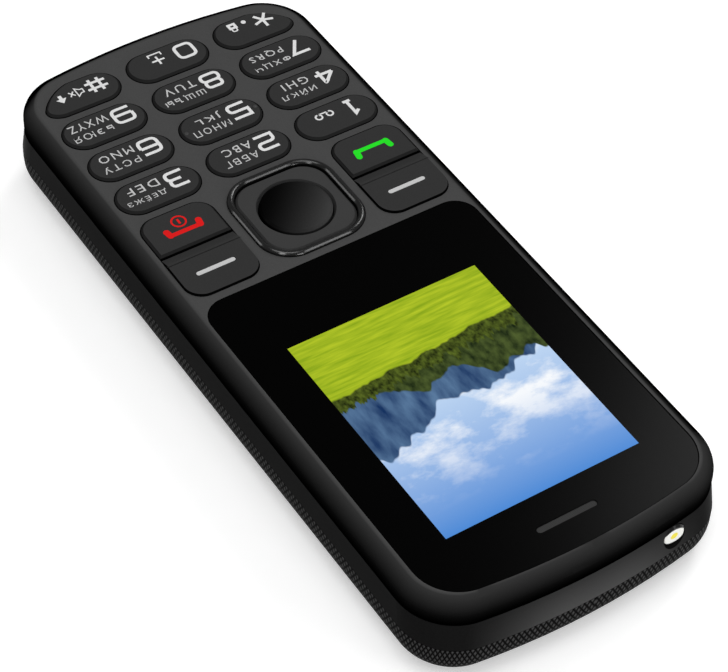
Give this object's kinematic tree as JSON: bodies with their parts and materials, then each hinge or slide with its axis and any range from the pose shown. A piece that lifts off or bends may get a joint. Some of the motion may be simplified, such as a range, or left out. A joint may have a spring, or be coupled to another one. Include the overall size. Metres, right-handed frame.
{
  "type": "feature phone",
  "caption": "Candy-bar feature phone with a small display window, navigation cluster, sprung number keys, removable battery and clip-on back cover.",
  "frame": {"origin": "middle of the back, on the surface that the phone lies on", "axes": "+Z out of the front, +Y towards the earpiece end, +X to the user's right"},
  "size_m": [0.0446, 0.109, 0.0148],
  "materials": {
    "front_plastic": "matte face, gloss shoulder",
    "window_black": "gloss",
    "band_plastic": "satin",
    "cover_plastic": "knurled",
    "key_plastic": "satin",
    "nav_plastic": "satin",
    "select_plastic": "gloss",
    "trim_gloss": "gloss",
    "silicone": "matte",
    "foam": "matte",
    "torch_clear": "clear",
    "lamp_white": "gloss",
    "lens_glass": "clear",
    "sheet_steel": "stamped",
    "screw_steel": "blackened",
    "mesh_steel": "etched",
    "contact_brass": "plated",
    "jack_plastic": "moulded",
    "board_green": "solder resist",
    "lcd_panel": "gloss",
    "dome_film": "film",
    "speaker_plastic": "moulded",
    "camera_plastic": "moulded",
    "antenna_plastic": "moulded",
    "battery_case": "wrapped",
    "legend_white": "print",
    "legend_green": "print",
    "legend_red": "print"
  },
  "bodies": {
    "back_cover": {"back_cover": "cover_plastic"},
    "phone": {"front_housing": "front_plastic", "rear_housing": "band_plastic", "display_window": "window_black", "nav_trim": "trim_gloss", "torch_lens": "torch_clear", "usb_port": "sheet_steel", "audio_jack": "jack_plastic", "circuit_board": "board_green", "lcd_module": "lcd_panel", "display_gasket": "foam", "earpiece_mesh": "mesh_steel", "earpiece_speaker": "speaker_plastic", "dome_sheet": "dome_film", "keypad_membrane": "silicone", "loudspeaker": "speaker_plastic", "speaker_mesh": "mesh_steel", "camera_module": "camera_plastic", "camera_lens": "lens_glass", "microphone": "sheet_steel", "vibration_motor": "sheet_steel", "torch_led": "lamp_white", "antenna": "antenna_plastic", "shield_can": "sheet_steel", "sim_socket_1": "sheet_steel", "sim_socket_2": "sheet_steel", "microsd_socket": "sheet_steel", "battery_contacts": "contact_brass", "housing_screws": "screw_steel"},
    "battery": {"battery": "battery_case"},
    "nav_pad": {"nav_rubber_pad": "silicone"},
    "nav_ring": {"nav_ring": "nav_plastic"},
    "key_1": {"key_1": "key_plastic"},
    "key_2": {"key_2": "key_plastic"},
    "key_3": {"key_3": "key_plastic"},
    "key_4": {"key_4": "key_plastic"},
    "key_5": {"key_5": "key_plastic"},
    "key_6": {"key_6": "key_plastic"},
    "key_7": {"key_7": "key_plastic"},
    "key_8": {"key_8": "key_plastic"},
    "key_9": {"key_9": "key_plastic"},
    "key_star": {"key_star": "key_plastic"},
    "key_0": {"key_0": "key_plastic"},
    "key_hash": {"key_hash": "key_plastic"},
    "soft_key_left": {"soft_key_left": "key_plastic"},
    "soft_key_right": {"soft_key_right": "key_plastic"},
    "call_key": {"call_key": "key_plastic"},
    "end_key": {"end_key": "key_plastic"},
    "select_key": {"select_key": "select_plastic"}
  },
  "joints": [
    {"name": "phone_lift", "type": "slide", "parent": "back_cover", "child": "phone", "axis": [0, 0, 1], "range_m": [0, 0.025]},
    {"name": "battery_slide", "type": "slide", "parent": "phone", "child": "battery", "axis": [0, 0, -1], "range_m": [0, 0.0125]},
    {"name": "nav_tilt_up_down", "type": "hinge", "parent": "phone", "child": "nav_pad", "pos_m": [0, -0.01282, 0.0122], "axis": [1, 0, 0], "range_deg": [-1.5, 1.5], "stiffness_Nm_per_rad": 0.3},
    {"name": "nav_tilt_left_right", "type": "hinge", "parent": "nav_pad", "child": "nav_ring", "pos_m": [0, -0.01282, 0.0122], "axis": [0, 1, 0], "range_deg": [-1.5, 1.5], "stiffness_Nm_per_rad": 0.3},
    {"name": "key_1_press", "type": "slide", "parent": "phone", "child": "key_1", "axis": [0, 0, -1], "range_m": [0, 0.0003], "stiffness_N_per_m": 4000},
    {"name": "key_2_press", "type": "slide", "parent": "phone", "child": "key_2", "axis": [0, 0, -1], "range_m": [0, 0.0003], "stiffness_N_per_m": 4000},
    {"name": "key_3_press", "type": "slide", "parent": "phone", "child": "key_3", "axis": [0, 0, -1], "range_m": [0, 0.0003], "stiffness_N_per_m": 4000},
    {"name": "key_4_press", "type": "slide", "parent": "phone", "child": "key_4", "axis": [0, 0, -1], "range_m": [0, 0.0003], "stiffness_N_per_m": 4000},
    {"name": "key_5_press", "type": "slide", "parent": "phone", "child": "key_5", "axis": [0, 0, -1], "range_m": [0, 0.0003], "stiffness_N_per_m": 4000},
    {"name": "key_6_press", "type": "slide", "parent": "phone", "child": "key_6", "axis": [0, 0, -1], "range_m": [0, 0.0003], "stiffness_N_per_m": 4000},
    {"name": "key_7_press", "type": "slide", "parent": "phone", "child": "key_7", "axis": [0, 0, -1], "range_m": [0, 0.0003], "stiffness_N_per_m": 4000},
    {"name": "key_8_press", "type": "slide", "parent": "phone", "child": "key_8", "axis": [0, 0, -1], "range_m": [0, 0.0003], "stiffness_N_per_m": 4000},
    {"name": "key_9_press", "type": "slide", "parent": "phone", "child": "key_9", "axis": [0, 0, -1], "range_m": [0, 0.0003], "stiffness_N_per_m": 4000},
    {"name": "key_star_press", "type": "slide", "parent": "phone", "child": "key_star", "axis": [0, 0, -1], "range_m": [0, 0.0003], "stiffness_N_per_m": 4000},
    {"name": "key_0_press", "type": "slide", "parent": "phone", "child": "key_0", "axis": [0, 0, -1], "range_m": [0, 0.0003], "stiffness_N_per_m": 4000},
    {"name": "key_hash_press", "type": "slide", "parent": "phone", "child": "key_hash", "axis": [0, 0, -1], "range_m": [0, 0.0003], "stiffness_N_per_m": 4000},
    {"name": "soft_key_left_press", "type": "slide", "parent": "phone", "child": "soft_key_left", "axis": [0, 0, -1], "range_m": [0, 0.0003], "stiffness_N_per_m": 4000},
    {"name": "soft_key_right_press", "type": "slide", "parent": "phone", "child": "soft_key_right", "axis": [0, 0, -1], "range_m": [0, 0.0003], "stiffness_N_per_m": 4000},
    {"name": "call_key_press", "type": "slide", "parent": "phone", "child": "call_key", "axis": [0, 0, -1], "range_m": [0, 0.0003], "stiffness_N_per_m": 4000},
    {"name": "end_key_press", "type": "slide", "parent": "phone", "child": "end_key", "axis": [0, 0, -1], "range_m": [0, 0.0003], "stiffness_N_per_m": 4000},
    {"name": "select_key_press", "type": "slide", "parent": "phone", "child": "select_key", "axis": [0, 0, -1], "range_m": [0, 0.0003], "stiffness_N_per_m": 4000}
  ],
  "couplings": [
    {"joint": "battery_slide", "follows": "phone_lift", "ratio": 0.5}
  ]
}
